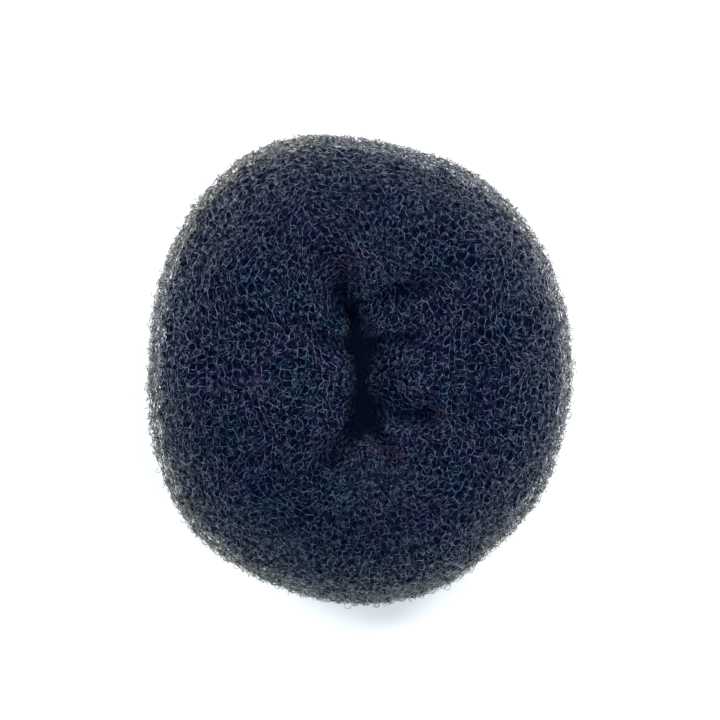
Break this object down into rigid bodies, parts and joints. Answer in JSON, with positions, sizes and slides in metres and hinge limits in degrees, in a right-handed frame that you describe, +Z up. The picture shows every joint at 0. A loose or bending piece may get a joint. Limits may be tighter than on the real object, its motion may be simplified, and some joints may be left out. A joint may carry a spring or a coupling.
{
  "type": "hair donut bun maker",
  "caption": "Ring of rolled nylon net with a pinched hole, drawn over a ponytail so that hair wraps round it into a bun.",
  "frame": {"origin": "centre of the ring's box on the surface that it lies on", "axes": "+Z up through the hole, +Y along the ring's longest extent and the slit, +X across it"},
  "size_m": [0.09, 0.0992, 0.038],
  "materials": {
    "nylon_net": "knitted nylon monofilament, dark blue-black, slightly glossy"
  },
  "bodies": {
    "root": {"rolled_net": "nylon_net"}
  },
  "joints": []
}
